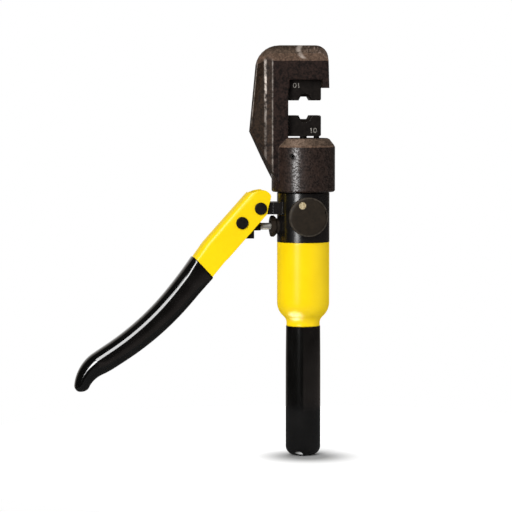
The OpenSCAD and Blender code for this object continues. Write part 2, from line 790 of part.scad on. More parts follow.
// Screwed ring in the ram's foot that carries the return spring up
module spring_plate() {
    color("#8c8a86") hoop_z(ram_foot, ram_foot + plate_h, ram_bore_r - run_gap, bolt_r + fit_gap);
}

// Painted lever channel: a pressed U whose walls run past the web as two rounded ears for the pivot
nose_shares = [[0.02, -0.14], [-0.012, 0.05], [-0.25, 0.18], [-0.425, 0.33], [-0.46, 0.417],
    [-0.473, 0.517], [-0.461, 0.607], [-0.425, 0.68], [-0.3, 0.752], [-0.08, 0.855], [0.17, 1.01]];
module ear_waste() {
    far = 2 * depth_pins;
    nose = concat([for (share = nose_shares) share * depth_pins],
        [[nose_shares[10][0] * depth_pins, far], [-far, far], [-far, nose_shares[0][1] * depth_pins]]);
    plate(2 * lever_w)
        polygon([for (q = nose) web_start + q[0] * along(lever_angle) + q[1] * inward(lever_angle)]);
}

channel_end = hook_s - channel_stop;
function channel_depth(s) = lookup(s, [[0, depth_pins], [kink_s, depth_neck],
    [painted_l + mouth_l, depth_mouth], [coated_s, grip_depth(coated_s) - wall_low],
    [sweep_s, grip_depth_mid - wall_low], [tail_s, grip_depth_low - wall_low]]);
function spread(a, b, n) = [for (i = [1 : n]) a + (b - a) * i / n];

module lever_channel() {
    stops = concat([-ear_lead, ear_lead, kink_s], spread(kink_s, kink_s + kink_l, 5),
        [painted_l + mouth_l, coated_s, sweep_s], spread(sweep_s, channel_end, 7));
    color("#f6d80f") difference() {
        skin([for (s = stops) ring_at(s, u_section(channel_depth(s)))]);
        ear_waste();
        translate([pivot[0], 0, pivot[1]]) bar_y(-lever_w, lever_w, pin_r + run_gap);
        translate([drive_pin[0], 0, drive_pin[1]]) bar_y(-lever_w, lever_w, drive_pin_r + run_gap);
    }
}

// Dipped vinyl grip over the lower part of the lever, ending in a rounded hook
function grip_depth(s) = lookup(s, [[painted_l + mouth_l, grip_depth_mouth], [sweep_s, grip_depth_mid],
    [tail_s, grip_depth_low], [hook_s, grip_depth_low], [hook_s + hook_l / 2, grip_depth_hook],
    [lever_l, grip_depth_tip]]);
function grip_width(s) = lookup(s, [[hook_s, grip_w], [lever_l, tip_w]]);
function grip_corner_at(s) = lookup(s, [[hook_s, grip_corner], [lever_l, tip_corner]]);
function far_corner_at(s) = lookup(s, [[painted_l + mouth_l, mouth_corner], [coated_s, grip_corner]]);
function grip_section(s, shrink = 0) = let (depth = grip_depth(s),
    full = tip_full_share * (depth / 2 - shrink))
    bar_section(shrink - coat_step, depth - shrink - coat_step, grip_width(s) - 2 * shrink,
        min(grip_corner_at(s), full), min(grip_corner_at(s), far_corner_at(s), full));
function hollow_section(s) = let (
    room = lookup(s, [[painted_l + mouth_l, seat_gap], [coated_s, wall_room]]),
    far = lookup(s, [[painted_l + mouth_l, seat_gap], [coated_s, bend_r + seat_gap]]))
    bar_section(-seat_gap, channel_depth(s) + room, lever_w + 2 * seat_gap, bend_r + seat_gap, far);

module lever_grip() {
    mouth_stops = [for (i = [0 : 3]) painted_l + i * mouth_l];
    core = concat(mouth_stops, [sweep_s], spread(sweep_s, channel_end + seat_gap, 7));
    stops = concat(mouth_stops, [sweep_s], spread(sweep_s, tail_s, 7), [hook_s],
        spread(hook_s, lever_l - tip_round, 8));
    tip = [for (i = [1 : 3]) tip_round * (1 - cos(30 * i))];
    color("#0e0e0e") skin(concat(
        [for (i = [len(core) - 1 : -1 : 0])
            ring_at(core[i], hollow_section(core[i]), core[i] == painted_l ? mouth_slant : 0)],
        [for (s = stops) ring_at(s, grip_section(s), s == painted_l ? mouth_slant : 0)],
        [for (i = [1 : 3]) ring_at(lever_l - tip_round + tip_round * sin(30 * i),
            grip_section(lever_l, tip_full_share * tip[i - 1]))]));
}

// Lever pins, each with a flat head in front and a spring clip behind
module pin(r) {
    half = lever_w / 2;
    tail = half + clip_t + pin_tail;
    front = -half - pin_head_t;
    difference() {
        rotate([-90, 0, 0]) rotate_extrude() polygon([[0, front], [pin_head_r - pin_head_edge, front],
            [pin_head_r, front + pin_head_edge], [pin_head_r, -half], [r, -half],
            [r, tail - pin_head_edge], [r - pin_head_edge, tail], [0, tail]]);
        difference() {
            bar_y(half, half + clip_t + fit_gap, r + over);
            bar_y(0, tail, r - clip_d);
        }
    }
}
module clip(r) {
    difference() {
        bar_y(lever_w / 2 + run_gap, lever_w / 2 + run_gap + clip_t, r + clip_rim);
        bar_y(0, lever_w, r - clip_d + run_gap);
    }
}
module pivot_pin() { color("#171717") translate([pivot[0], 0, pivot[1]]) pin(pin_r); }
module drive_pin() { color("#171717") translate([drive_pin[0], 0, drive_pin[1]]) pin(drive_pin_r); }
module pin_clips() {
    color("#6d6d6d") {
        translate([pivot[0], 0, pivot[1]]) clip(pin_r);
        translate([drive_pin[0], 0, drive_pin[1]]) clip(drive_pin_r);
    }
}

// Crosshead: the drive pin runs up and down in its slot and pushes the plunger straight
module crosshead() {
    slot_top = drive_pin[1] + slot_play;
    slot_foot = pivot[1] - drive_end_drop - slot_play;
    color("#191919") difference() {
        union() {
            translate([drive_pin[0], -yoke_w / 2, plunger_z - yoke_low])
                cube([yoke_x - drive_pin[0], yoke_w, yoke_low + yoke_high]);
            translate([drive_pin[0] - yoke_r, -yoke_w / 2, slot_foot])
                cube([2 * yoke_r, yoke_w, slot_top - slot_foot]);
            for (z = [slot_foot, slot_top])
                translate([drive_pin[0], 0, z]) bar_y(-yoke_w / 2, yoke_w / 2, yoke_r);
            translate([0, 0, plunger_z]) bar_x(drive_pin[0] + yoke_r, yoke_x + boss_l, boss_r);
        }
        translate([drive_pin[0] - slot_r, -yoke_w, slot_foot])
            cube([2 * slot_r, 2 * yoke_w, slot_top - slot_foot]);
        for (z = [slot_foot, slot_top]) translate([drive_pin[0], 0, z]) bar_y(-yoke_w, yoke_w, slot_r);
        translate([0, 0, plunger_z]) bar_x(yoke_x - rod_in, yoke_x + boss_l + over, plunger_r + run_gap);
    }
}
module rod_collar() {
    color("#7d7d7d") translate([0, 0, plunger_z]) difference() {
        bar_x(yoke_x + boss_l, yoke_x + boss_l + collar_l, boss_r);
        bar_x(yoke_x, yoke_x + boss_l + collar_l + over, plunger_r + run_gap);
    }
}
module plunger_rod() {
    color("#d2d2d2") translate([0, 0, plunger_z]) bar_x(yoke_x - rod_in, plunger_tip, plunger_r);
}

// Release knob on the front of the pump body, with its spindle and a brass screw
module knob_place() { translate([0, 0, knob_z]) children(); }
module release_knob() {
    color("#191919") knob_place() difference() {
        rotate([90, 0, 0]) rotate_extrude() polygon([[0, -knob_back],
            [knob_r - knob_bevel_t / 2, -knob_back], [knob_r, -knob_back + knob_bevel_t / 2],
            [knob_r, -knob_front - knob_bevel_t], [knob_r - knob_bevel_r, -knob_front], [0, -knob_front]]);
        bar_y(knob_front + knob_cap, knob_back + over, spindle_shank_r + run_gap);
        translate([screw_x, 0, screw_rise]) {
            bar_y(knob_front - over, knob_back + over, screw_shank_r + run_gap);
            bar_y(knob_front - over, knob_front + screw_sink + screw_head_t, screw_head_r + run_gap);
        }
        rotate([0, -notch_angle, 0]) translate([knob_r, 0, 0])
            bar_y(knob_front - over, knob_front + notch_d, notch_r);
    }
}
module knob_screw() {
    face = knob_front + screw_sink;
    color("#c9a24a") knob_place() translate([screw_x, 0, screw_rise]) difference() {
        union() {
            bar_y(face, face + screw_head_t, screw_head_r);
            bar_y(face, knob_back, screw_shank_r);
        }
        rotate([0, lever_angle, 0]) translate([-knob_r / 2, face - over, -slot_w / 2])
            cube([knob_r, slot_d + over, slot_w]);
    }
}
module release_spindle() {
    nose = release_ball_y - release_ball_r - run_gap;
    color("#8d8d8d") knob_place() difference() {
        union() {
            bar_y(release_seat_y - guide_l - fit_gap, nose, spindle_nose_r);
            bar_y(knob_back, release_seat_y - guide_l - fit_gap, spindle_r);
            bar_y(knob_front + knob_cap + fit_gap, knob_back, spindle_shank_r);
        }
        difference() {
            bar_y(oring_y - oring_wire_r - run_gap, oring_y + oring_wire_r + run_gap, spindle_r + over);
            bar_y(-body_r, release_seat_y, spindle_r - 2 * oring_wire_r);
        }
    }
}
module spindle_oring() {
    color("#202020") knob_place() translate([0, oring_y, 0]) rotate([90, 0, 0])
        wire_ring(spindle_r - oring_wire_r + run_gap / 2, oring_wire_r - run_gap / 2);
}

crimp_head();
upper_die();
upper_die_ring();
head_lock_screw();
pump_body();
gland_nut();
plunger_seal();
suction_seat();
suction_ball();
suction_spring();
delivery_ball();
delivery_spring();
delivery_plug();
relief_ball();
relief_spring();
relief_screw();
release_ball();
spring_bolt();
return_spring();
handle_tube();
fixed_grip();
tube_plug();
oil_bladder();
bladder_clamp();
ram();
ram_seal();
ram_backup_ring();
spring_plate();
lower_die();
lower_die_ring();
die_dowel();
lever_channel();
lever_grip();
pivot_pin();
drive_pin();
pin_clips();
plunger_rod();
rod_collar();
crosshead();
release_knob();
knob_screw();
release_spindle();
spindle_oring();
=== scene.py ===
import json
import math
import bmesh
import bpy
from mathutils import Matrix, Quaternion, Vector

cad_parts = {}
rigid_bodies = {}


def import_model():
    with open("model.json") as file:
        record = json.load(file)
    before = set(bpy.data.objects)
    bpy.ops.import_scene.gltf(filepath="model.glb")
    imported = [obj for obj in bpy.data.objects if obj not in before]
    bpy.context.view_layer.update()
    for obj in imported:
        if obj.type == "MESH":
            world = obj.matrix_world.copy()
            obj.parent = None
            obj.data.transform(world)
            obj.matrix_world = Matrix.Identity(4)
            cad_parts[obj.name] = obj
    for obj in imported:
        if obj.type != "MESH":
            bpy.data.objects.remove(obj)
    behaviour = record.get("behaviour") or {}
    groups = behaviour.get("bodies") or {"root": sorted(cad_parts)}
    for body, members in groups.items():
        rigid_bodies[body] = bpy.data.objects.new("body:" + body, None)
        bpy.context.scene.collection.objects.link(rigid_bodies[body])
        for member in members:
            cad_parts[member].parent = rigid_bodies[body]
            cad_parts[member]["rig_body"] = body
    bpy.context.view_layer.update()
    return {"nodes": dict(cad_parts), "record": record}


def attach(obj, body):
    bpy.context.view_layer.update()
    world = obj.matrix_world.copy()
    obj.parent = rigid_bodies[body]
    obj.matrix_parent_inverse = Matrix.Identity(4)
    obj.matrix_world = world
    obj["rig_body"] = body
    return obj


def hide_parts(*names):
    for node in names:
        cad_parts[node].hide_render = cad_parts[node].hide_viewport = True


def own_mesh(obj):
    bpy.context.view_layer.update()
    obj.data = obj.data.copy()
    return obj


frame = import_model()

scene = bpy.context.scene
scene.view_settings.view_transform = "Standard"

# Camera. The tool is seen from two metres off with a long lens, from a little left of its front and at
# the height of its head, so that its upright lines stay upright.
LENS = 182.63
SHOT_FROM = (-0.3463, -1.9655, 0.2890)
SHOT_ALONG = (0.15522, 0.98556, -0.06760)
shot = bpy.data.objects.new("shot", bpy.data.cameras.new("shot"))
shot.data.sensor_width = 36.0
shot.data.lens = LENS
shot.data.clip_end = 50.0
shot.location = SHOT_FROM
shot.rotation_euler = Vector(SHOT_ALONG).to_track_quat("-Z", "Y").to_euler()
scene.collection.objects.link(shot)
scene.camera = shot

# Fixed grip. A thick black vinyl sleeve, dipped hot over the handle tube: glossy, closed and well
# rounded at the foot, drawn in a little towards the painted neck, where its rim is eased.
MM = 0.001
VINYL_DARK, VINYL_LIGHT = (0.002, 0.0019, 0.0018), (0.0042, 0.0039, 0.0037)


class Field:
    """A socket of a finish's node tree, with the sums that a finish needs."""

    def __init__(self, tree, socket=None):
        self.tree, self.socket = tree, socket

    def add(self, kind, out=0, sockets=None, **settings):
        """A new node: its settings are set first, then its sockets are filled or linked."""
        node = self.tree.nodes.new(kind)
        for name, value in settings.items():
            setattr(node, name, value)
        for name, value in (sockets or {}).items():
            if isinstance(value, Field):
                self.tree.links.new(value.socket, node.inputs[name])
            else:
                node.inputs[name].default_value = value
        return Field(self.tree, node.outputs[out])

    def sum(self, operation, first, second):
        return self.add("ShaderNodeMath", sockets={0: first, 1: second}, operation=operation)

    def __add__(self, other):
        return self.sum("ADD", self, other)

    __radd__ = __add__

    def __mul__(self, other):
        return self.sum("MULTIPLY", self, other)

    __rmul__ = __mul__

    def __sub__(self, other):
        return self.sum("SUBTRACT", self, other)

    def __rsub__(self, other):
        return self.sum("SUBTRACT", other, self)

    def __abs__(self):
        return self.add("ShaderNodeMath", sockets={0: self}, operation="ABSOLUTE")

    def feeds(self, shader, name):
        self.tree.links.new(self.socket, shader.inputs[name])


def finish(name, **constants):
    """A new material: its node field, its shader, and the shader's steady values."""
    material = bpy.data.materials.new(name)
    material.use_nodes = True
    shader = material.node_tree.nodes["Principled BSDF"]
    for key, value in constants.items():
        shader.inputs[key.replace("_", " ")].default_value = value
    return material, Field(material.node_tree), shader


def grain(f, lumps, detail=4.0, roughness=0.5, stretch=(1.0, 1.0, 1.0)):
    """Noise fixed to the part, at so many lumps a metre."""
    on_part = f.add("ShaderNodeTexCoord", out="Object")
    place = f.add("ShaderNodeMapping", sockets={"Vector": on_part, "Scale": stretch})
    return f.add("ShaderNodeTexNoise", sockets={
        "Vector": place, "Scale": lumps, "Detail": detail, "Roughness": roughness})


def between(f, share, first, second):
    """A colour mixed from two, each a field or a plain colour."""
    share_in, first_in, second_in, colour_out = 0, 6, 7, 2
    first, second = (c if isinstance(c, Field) else (*c, 1.0) for c in (first, second))
    return f.add("ShaderNodeMix", out=colour_out, data_type="RGBA", sockets={
        share_in: share, first_in: first, second_in: second})


def fade(f, value, low, high):
    """Nought up to low, one from high on, and a smooth rise between."""
    return f.add("ShaderNodeMapRange", interpolation_type="SMOOTHSTEP", sockets={
        "Value": value, "From Min": low, "From Max": high})


def bumps(f, height, strength, depth, **under):
    """A normal with bumps of a depth in millimetres, over another normal where one is given."""
    return f.add("ShaderNodeBump", sockets={
        "Height": height, "Strength": strength, "Distance": depth * MM, **under})


def coat_piece(material, *pieces):
    for piece in pieces:
        piece.data.materials.clear()
        piece.data.materials.append(material)


def made(name, mesh, body, *stands_for, corner=32.0):
    """A finished piece from an edit mesh, smooth but for its sharp corners, riding on its body."""
    bmesh.ops.recalc_face_normals(mesh, faces=mesh.faces)
    data = bpy.data.meshes.new(name)
    mesh.to_mesh(data)
    mesh.free()
    data.shade_smooth()
    data.set_sharp_from_angle(angle=math.radians(corner))
    piece = bpy.data.objects.new(name, data)
    scene.collection.objects.link(piece)
    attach(piece, body)
    if stands_for:
        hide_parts(*stands_for)
    return piece


def skinned(rings):
    """An edit mesh over a row of rings of points in millimetres, closed at both ends."""
    mesh = bmesh.new()
    rows = [[mesh.verts.new(Vector(p) * MM) for p in ring] for ring in rings]
    for a, b in zip(rows, rows[1:]):
        for k in range(len(a)):
            mesh.faces.new((a[k - 1], a[k], b[k], b[k - 1]))
    mesh.faces.new(rows[0])
    mesh.faces.new(rows[-1])
    return mesh


def turned(profile):
    """Rings about Z for a row of (radius, height) in millimetres."""
    steps = 96
    angles = [2 * math.pi * k / steps for k in range(steps)]
    return [[(r * math.cos(a), r * math.sin(a), z) for a in angles] for r, z in profile]


def bow(x, y, r, first, last, steps):
    """Points of an arc, with its angles in degrees."""
    turns = [math.radians(first + (last - first) * i / steps) for i in range(steps + 1)]
    return [(x + r * math.cos(t), y + r * math.sin(t)) for t in turns]


bore_and_rim = [(11.35, 6.5), (11.35, 99.7), (13.1, 99.95), (13.19, 99.9)]
outside = [(13.2, 97.0), (13.28, 90.0), (13.36, 80.0), (13.4, 70.0), (13.4, 40.0)]
rounded_foot = bow(6.4, 7.0, 7.0, 0, -90, 16) + [(3.0, 0.0), (0.4, 0.0)]
sleeve = bore_and_rim + outside + rounded_foot
fixed_grip = made("dipped_sleeve", skinned(turned(sleeve)), "frame", "fixed_grip")

vinyl, f, shader = finish("black_vinyl", Specular_IOR_Level=1.0)
flow = grain(f, 70.0, 2.0)
marks = grain(f, 1100.0, 5.0, 0.65)
(0.07 + 0.04 * flow + 0.04 * marks).feeds(shader, "Roughness")
between(f, fade(f, flow, 0.35, 0.7), VINYL_DARK, VINYL_LIGHT).feeds(shader, "Base Color")
bumps(f, flow, 0.06, 0.5).feeds(shader, "Normal")
coat_piece(vinyl, fixed_grip)

# Lever grip. The same vinyl over the lower lever: a flattened oval bar that follows the bent channel,
# square at its mouth, and ends in a solid hook that stops the hand.
PIVOT = Vector((-34.8, 0.0, 191.1))
PIVOT_INSET, NOSE_L = 14.2, 3.45
# Each leg of the lever's path: its length, and its slant from straight down at both ends, in degrees.
LEGS = ((48, 42, 42), (7, 42, 34.6), (40, 34.6, 39), (65, 39, 57), (12, 57, 57), (33, 57, -3))
# The grip's sizes, each after the distance along the path where it holds.
DEPTHS = ((70, 21.1), (95, 20.0), (160, 17.3), (172, 17.3), (188.5, 14.2), (205, 9.6))
WIDTHS = ((172, 23.8), (205, 16.0))
OUTER_CORNERS = ((66, 5.4), (78, 6.8))
INNER_CORNERS = ((66, 1.6), (84, 6.2))
COAT_T = 0.9
MOUTH_LEAN = 4.0


def along(a):
    return Vector((-math.sin(math.radians(a)), 0.0, -math.cos(math.radians(a))))


def inward(a):
    return Vector((math.cos(math.radians(a)), 0.0, -math.sin(math.radians(a))))


def web_at(s):
    """Place and slant of the lever's outer face at a distance s from its upper end."""
    top_slant, steps = LEGS[0][1], 16
    place = PIVOT - PIVOT_INSET * inward(top_slant) - NOSE_L * along(top_slant)
    for leg in LEGS:
        length, first, last = leg
        part = s if leg is LEGS[-1] else min(s, length)
        turn = (last - first) * part / length
        for i in range(steps):
            place = place + part / steps * along(first + turn * (i + 0.5) / steps)
        slant = first + turn
        s -= part
        if s <= 0:
            break
    return place, slant


def read_off(table, s):
    for (s0, v0), (s1, v1) in zip(table, table[1:]):
        if s < s1:
            return v0 + (v1 - v0) * max(s - s0, 0.0) / (s1 - s0)
    return table[-1][1]


def oval(near, far, width, r, q):
    """Section points (depth, width) of a bar with corners r on its outer side and q on its inner side."""
    side = bow(near + r, width / 2 - r, r, 180, 90, 9) + bow(far - q, width / 2 - q, q, 90, 0, 9)
    return side + [(d, -w) for d, w in reversed(side)]


def set_at(s, section, lean=0.0):
    """A section set across the path, its inner side leaning on along it."""
    place, slant = web_at(s)
    across, onward = inward(slant), along(slant)
    deep = max(d for d, w in section)
    return [place + d * across + lean * max(d, 0.0) / deep * onward + Vector((0.0, w, 0.0))
            for d, w in section]


def grip_ring(s, shrink=0.0, lean=0.0):
    """The grip's outside at a distance s along the path, drawn in all round by shrink."""
    depth = sum(read_off(DEPTHS, s + k) for k in range(-8, 9, 2)) / 9
    width = read_off(WIDTHS, s) - 2 * shrink
    largest = 0.96 * min(depth / 2 - shrink, width / 2)
    outer = min(read_off(OUTER_CORNERS, s), largest)
    inner = min(read_off(INNER_CORNERS, s), largest)
    return set_at(s, oval(shrink - COAT_T, depth - COAT_T - shrink, width, outer, inner), lean)


mouth = [set_at(s, oval(-0.15, 19.5, 22.3, 4.1, 0.5), MOUTH_LEAN) for s in (72, 66)]
rim = [grip_ring(65 + 0.5 * i, 0.5 * (1 - i) ** 2, MOUTH_LEAN) for i in (0, 0.5, 1)]
bar = [grip_ring(66.5 + 2.5 * i, 0.0, MOUTH_LEAN * max(0.0, 1 - i / 4)) for i in range(42)]
hook = [grip_ring(171.5 + 1.45 * i) for i in range(1, 21)]
tip = [grip_ring(200.5 + 4.5 * math.sin(t), 4.2 * (1 - math.cos(t)))
       for t in (math.radians(15 * i) for i in range(1, 7))]
lever_grip = made("dipped_lever_grip", skinned(mouth + rim + bar + hook + tip), "lever", "lever_grip",
                  corner=50.0)
coat_piece(vinyl, lever_grip)

# Barrel and lever channel. The barrel is a drawn steel tube that holds the oil, the lever a pressed
# steel channel with rounded bends. Both carry a thick coat of bright yellow gloss paint.
PAINT_DARK, PAINT_LIGHT = (0.88, 0.605, 0.003), (0.92, 0.645, 0.004)
yellow, f, shader = finish(
    "yellow_paint", Specular_IOR_Level=0.0, Coat_Weight=0.28, Coat_IOR=1.8, Coat_Roughness=0.26)
cloud = grain(f, 45.0)
peel = grain(f, 700.0, 2.0)
between(f, fade(f, cloud, 0.3, 0.7), PAINT_DARK, PAINT_LIGHT).feeds(shader, "Base Color")
(0.3 + 0.1 * cloud).feeds(shader, "Roughness")
bumps(f, peel, 0.05, 0.3).feeds(shader, "Normal")


def eased(node, width):
    """A copy of a CAD node with its corners broken, which stands for the node."""
    corner, rounds = 28.0, 3
    source = frame["nodes"][node]
    mesh = bmesh.new()
    mesh.from_mesh(source.data)
    bmesh.ops.remove_doubles(mesh, verts=mesh.verts, dist=2e-6)
    bmesh.ops.dissolve_limit(mesh, angle_limit=math.radians(0.7), verts=mesh.verts, edges=mesh.edges)
    piece = made("eased_" + node, mesh, source["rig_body"], node, corner=corner)
    edge = piece.modifiers.new("eased", "BEVEL")
    edge.width, edge.segments = width * MM, rounds
    edge.limit_method, edge.angle_limit = "ANGLE", math.radians(corner)
    edge.harden_normals = True
    return piece


tube = [(8.8, 6.0), (11.2, 6.0), (11.2, 99.9), (12.6, 100.05), (12.9, 100.5)]
shoulder = bow(19.6, 102.3, 6.8, 187, 131, 12) + bow(5.7, 118.3, 14.4, -47, 0, 16)
wall = [(20.1, 124.0), (20.1, 163.0)] + bow(19.6, 164.45, 0.5, 0, 90, 4)
inside = [(17.65, 164.95), (17.65, 121.0), (12.5, 109.5), (8.8, 103.5)]
shell = tube + shoulder + wall + inside
barrel = made("painted_barrel", skinned(turned(shell)), "frame", "handle_tube")
channel = eased("lever_channel", 0.45)
coat_piece(yellow, channel, barrel)

# Pump body. Turned and milled from steel bar, with the lever's lug and the bores of the pump in it. It
# is screwed into the barrel, and has smooth black gloss paint over corners that were broken first.
GLOSS_DARK, GLOSS_LIGHT = (0.0032, 0.003, 0.003), (0.0062, 0.0055, 0.0052)


def broken_corners(f, radius, samples):
    """The normal of a surface whose corners are rounded to a radius in millimetres."""
    return f.add("ShaderNodeBevel", sockets={"Radius": radius * MM}, samples=samples)


black, f, shader = finish("black_paint", Specular_IOR_Level=1.0)
cloud = grain(f, 120.0)
speck = grain(f, 1500.0, 3.0)
between(f, fade(f, cloud, 0.3, 0.7), GLOSS_DARK, GLOSS_LIGHT).feeds(shader, "Base Color")
(0.14 + 0.1 * cloud + 0.06 * speck).feeds(shader, "Roughness")
bumps(f, cloud + 0.15 * speck, 0.06, 0.4, Normal=broken_corners(f, 0.4, 4)).feeds(shader, "Normal")
coat_piece(black, frame["nodes"]["pump_body"])

# Release knob and gland nut. The knob is a turned disc that opens the release valve by hand, the nut
# presses the packing round the plunger. Both have a fine matt black coat, rubbed at the knob's rim.
KNOB_AXIS, KNOB_RIM_R = (0.0, 0.0, 0.1849), 14.4 * MM
MATT_DARK, MATT_LIGHT, RIM_RUBBED = (0.0135, 0.0092, 0.0052), (0.0205, 0.014, 0.008), (0.05, 0.041, 0.031)


def below(f, value, low, high):
    """One up to low, nought from high on, and a smooth fall between."""
    return 1.0 - fade(f, value, low, high)


def off_axis(f, centre):
    """Distance from an axis that runs along Y through the centre."""
    on_part = f.add("ShaderNodeTexCoord", out="Object")
    flat = f.add("ShaderNodeVectorMath", sockets={0: on_part, 1: (1.0, 0.0, 1.0)}, operation="MULTIPLY")
    return f.add("ShaderNodeVectorMath", out="Value", sockets={0: flat, 1: centre}, operation="DISTANCE")


matt, f, shader = finish("matt_black", Specular_IOR_Level=0.2)
cloud = grain(f, 400.0)
rubbed = below(f, abs(off_axis(f, KNOB_AXIS) - KNOB_RIM_R), 0.2 * MM, 0.8 * MM) * fade(f, cloud, 0.25, 0.6)
coat = between(f, fade(f, cloud, 0.3, 0.7), MATT_DARK, MATT_LIGHT)
between(f, rubbed, coat, RIM_RUBBED).feeds(shader, "Base Color")
(0.5 + 0.2 * cloud).feeds(shader, "Roughness")
knob = eased("release_knob", 0.3)
coat_piece(matt, knob, frame["nodes"]["gland_nut"])

# Head. A steel forging screwed onto the pump body. Its flanks are milled and blackened, its bevels are left as
# forged, brown with scale, and the spine's ridges are rubbed bright under a painted highlight; up-facing faces
# carry painted top light, the collar's shoulder a painted highlight.
COLLAR_R, COLLAR_EDGE_Z = 24.4 * MM, 238.4 * MM
FIRST_RIDGE_X, SECOND_RIDGE_X = -31.1 * MM, -25.9 * MM
REAR_EDGE_X, REAR_EDGE_TOP_Z, REAR_EDGE_SLOPE = -37.0 * MM, 297.0 * MM, 0.097
NICK_X, NICK_Z = -5.3 * MM, 311.0 * MM
SHOULDER_HIGHLIGHT_X = -8.4 * MM
forged, f, shader = finish("forged_steel", Specular_IOR_Level=0.15, Coat_Roughness=0.26, Coat_IOR=1.7)
scale = grain(f, 240.0, 6.0, 0.6)
grit = grain(f, 1500.0, 4.0, 0.6)
place = f.add("ShaderNodeTexCoord", out="Object")
x, y, z = (f.add("ShaderNodeSeparateXYZ", out=axis, sockets={0: place}) for axis in "XYZ")
true_normal = f.add("ShaderNodeNewGeometry", out="Normal")
facing = abs(f.add("ShaderNodeSeparateXYZ", out="Y", sockets={0: true_normal}))
upward = f.add("ShaderNodeSeparateXYZ", out="Z", sockets={0: true_normal})

collar = (below(f, z, COLLAR_EDGE_Z - 1.0 * MM, COLLAR_EDGE_Z)
          * below(f, x * x + y * y, (COLLAR_R + 0.3 * MM) ** 2, (COLLAR_R + 0.8 * MM) ** 2)
          * below(f, upward, 0.2, 0.4))
# The pale lines on the ridges are partly wear and partly a painted highlight, brighter towards the top.
first_ridge_wear_and_highlight = (below(f, abs(x - FIRST_RIDGE_X), 0.3 * MM, 1.3 * MM)
               * (0.16 + 0.62 * fade(f, z, 0.246, 0.292)))
second_ridge_wear_and_highlight = 0.3 * below(f, abs(x - SECOND_RIDGE_X), 0.1 * MM, 0.8 * MM)
rear_off = x - REAR_EDGE_X + REAR_EDGE_SLOPE * (REAR_EDGE_TOP_Z - z)
rear_edge = (0.3 * below(f, abs(rear_off), 0.2 * MM, 0.7 * MM)
             * fade(f, abs(y), 2.4 * MM, 3.1 * MM) * fade(f, z, 0.25, 0.265))
bend = (z - NICK_Z) * 222.0
nick = (0.36 * below(f, abs(x - NICK_X - 0.0025 * bend * bend), 0.4 * MM, 3.0 * MM)
        * fade(f, z, 0.3045, 0.3065) * fade(f, scale, 0.25, 0.55))
scuff = (fade(f, grain(f, 1.0, 4.0, 0.6, (900.0, 300.0, 350.0)), 0.5, 0.66)
         * fade(f, x, -4.0 * MM, 4.0 * MM) * fade(f, upward, 0.3, 0.5))
wear_and_painted_highlight = ((first_ridge_wear_and_highlight + second_ridge_wear_and_highlight + rear_edge) * below(f, z, 0.302, 0.3065)
        * fade(f, upward, -0.4, -0.25) * fade(f, scale, 0.3, 0.6) + nick)
# A painted highlight on the collar's chamfer, a few millimetres left of the middle.
painted_shoulder_highlight = (below(f, z, 0.244, 0.2455) * fade(f, upward, 0.4, 0.6) * below(f, upward, 0.9, 0.97)
       * below(f, abs(x - SHOULDER_HIGHLIGHT_X), 2.0 * MM, 8.0 * MM))

# From the blackened flanks up: bevels, steep bevels, faces that look up (brown scale with painted top light),
# the steeper of them (painted darker), the top's rim, its scuffs, level faces (painted darker), the collar's
# round, a painted highlight on its shoulder, and the ridges, worn bare under a painted highlight.
mottle = fade(f, 0.45 * scale + 0.55 * grain(f, 750.0, 3.0, 0.6), 0.38, 0.62)
colour = between(f, mottle, (0.0045, 0.0024, 0.0018), (0.0255, 0.0136, 0.0106))
for share, dark, light in (
        (below(f, facing, 0.955, 0.99), (0.01, 0.0055, 0.0034), (0.042, 0.0235, 0.0142)),
        (below(f, facing, 0.85, 0.93), (0.009, 0.0052, 0.0028), (0.034, 0.0192, 0.011)),
        (fade(f, upward, 0.05, 0.4), (0.07, 0.042, 0.027), (0.16, 0.1, 0.068)),
        (fade(f, upward, 0.5, 0.62), (0.04, 0.026, 0.017), (0.12, 0.08, 0.055)),
        (0.8 * fade(f, z, 0.3105, 0.3142), (0.016, 0.0105, 0.007), (0.05, 0.033, 0.023)),
        (0.5 * scuff * fade(f, z, 0.303, 0.305), (0.2, 0.14, 0.115), (0.3, 0.22, 0.19)),
        (fade(f, upward, 0.93, 0.99), (0.012, 0.009, 0.008), (0.03, 0.022, 0.019)),
        (collar, (0.008, 0.0043, 0.003), (0.032, 0.0175, 0.0125)),
        (0.5 * painted_shoulder_highlight, (0.13, 0.085, 0.06), (0.34, 0.24, 0.18)),
        (wear_and_painted_highlight, (0.62, 0.53, 0.46), (0.8, 0.71, 0.64))):
    colour = between(f, share, colour, between(f, mottle, dark, light))
colour.feeds(shader, "Base Color")
(collar * (0.25 + 0.75 * fade(f, grain(f, 750.0, 2.0), 0.42, 0.6))).feeds(shader, "Coat Weight")
(0.3 * wear_and_painted_highlight).feeds(shader, "Metallic")
(0.5 + 0.2 * grit - 0.15 * wear_and_painted_highlight).feeds(shader, "Roughness")
bumps(f, scale + 0.4 * grit, 0.35, 0.5, Normal=broken_corners(f, 1.2, 8)).feeds(shader, "Normal")
coat_piece(forged, frame["nodes"]["crimp_head"])

